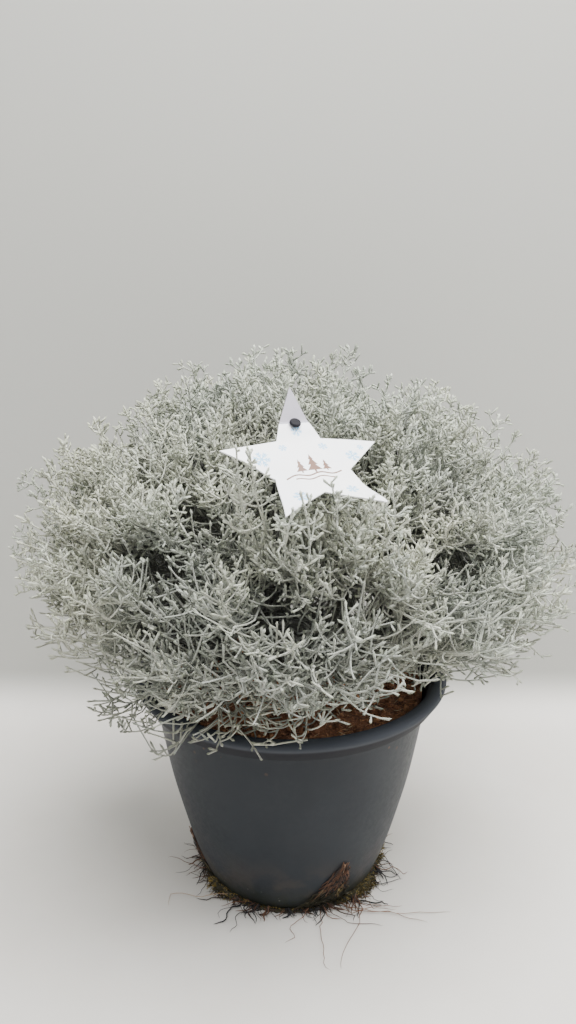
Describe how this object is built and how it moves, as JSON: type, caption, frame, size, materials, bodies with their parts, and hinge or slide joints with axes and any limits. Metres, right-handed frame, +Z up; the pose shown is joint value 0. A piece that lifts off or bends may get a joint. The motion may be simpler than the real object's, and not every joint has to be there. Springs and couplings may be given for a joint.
{
  "type": "potted cushion bush",
  "caption": "Dense silvery cushion bush of wiry branching stems in a dark grey plastic pot, with soil, creeping roots and a star-shaped card on a pin.",
  "frame": {"origin": "centre of the pot's foot, on the surface it stands on", "axes": "+Z up, -Y towards the front with the card, +X to the right seen from the front"},
  "size_m": [0.4086, 0.37, 0.4008],
  "materials": {
    "pot": "satin",
    "soil": "matte",
    "foliage": "matte",
    "roots": "matte",
    "card": "satin",
    "pin": "satin"
  },
  "bodies": {
    "root": {"pot": "pot", "soil": "soil", "stem_01": "foliage", "stem_02": "foliage", "stem_03": "foliage", "stem_04": "foliage", "stem_05": "foliage", "stem_06": "foliage", "stem_07": "foliage", "stem_08": "foliage", "stem_09": "foliage", "stem_10": "foliage", "stem_11": "foliage", "stem_12": "foliage", "stem_13": "foliage", "stem_14": "foliage", "stem_15": "foliage", "stem_16": "foliage", "stem_17": "foliage", "stem_18": "foliage", "stem_19": "foliage", "stem_20": "foliage", "stem_21": "foliage", "stem_22": "foliage", "stem_23": "foliage", "stem_24": "foliage", "root_mat_1": "roots", "root_mat_2": "roots", "root_mat_3": "roots", "tag_card": "card", "tag_pin": "pin"}
  },
  "joints": []
}
